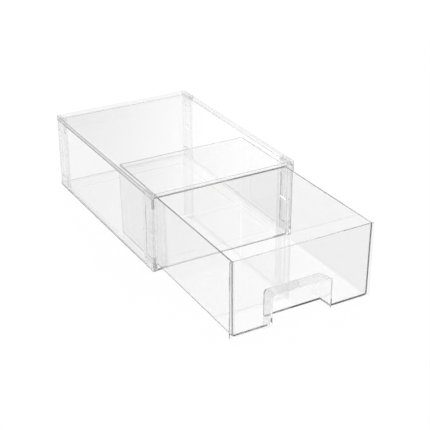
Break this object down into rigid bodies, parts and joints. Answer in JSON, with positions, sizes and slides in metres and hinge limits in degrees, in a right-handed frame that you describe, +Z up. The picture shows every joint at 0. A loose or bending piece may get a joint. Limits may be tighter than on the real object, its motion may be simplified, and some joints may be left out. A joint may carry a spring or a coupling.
{
  "type": "stackable drawer box",
  "caption": "Clear plastic stackable box with a pull-out drawer: rimmed panels, hollow corner posts and thin sheets round a tub with a finger recess.",
  "frame": {"origin": "centre of the case's footprint, on the surface that the box stands on", "axes": "+Z up, -Y out of the front, the way the drawer opens, +X to the right seen from the front"},
  "size_m": [0.21, 0.4865, 0.11],
  "materials": {
    "clear_case": "polished clear",
    "clear_drawer": "polished clear"
  },
  "bodies": {
    "case": {"top_panel": "clear_case", "bottom_panel": "clear_case", "front_left_post": "clear_case", "front_right_post": "clear_case", "rear_left_post": "clear_case", "rear_right_post": "clear_case", "left_side_sheet": "clear_case", "right_side_sheet": "clear_case", "back_sheet": "clear_case"},
    "drawer": {"drawer": "clear_drawer"}
  },
  "joints": [
    {"name": "drawer_slide", "type": "slide", "parent": "case", "child": "drawer", "axis": [0, -1, 0], "range_m": [-0.1825, 0.0575]}
  ]
}
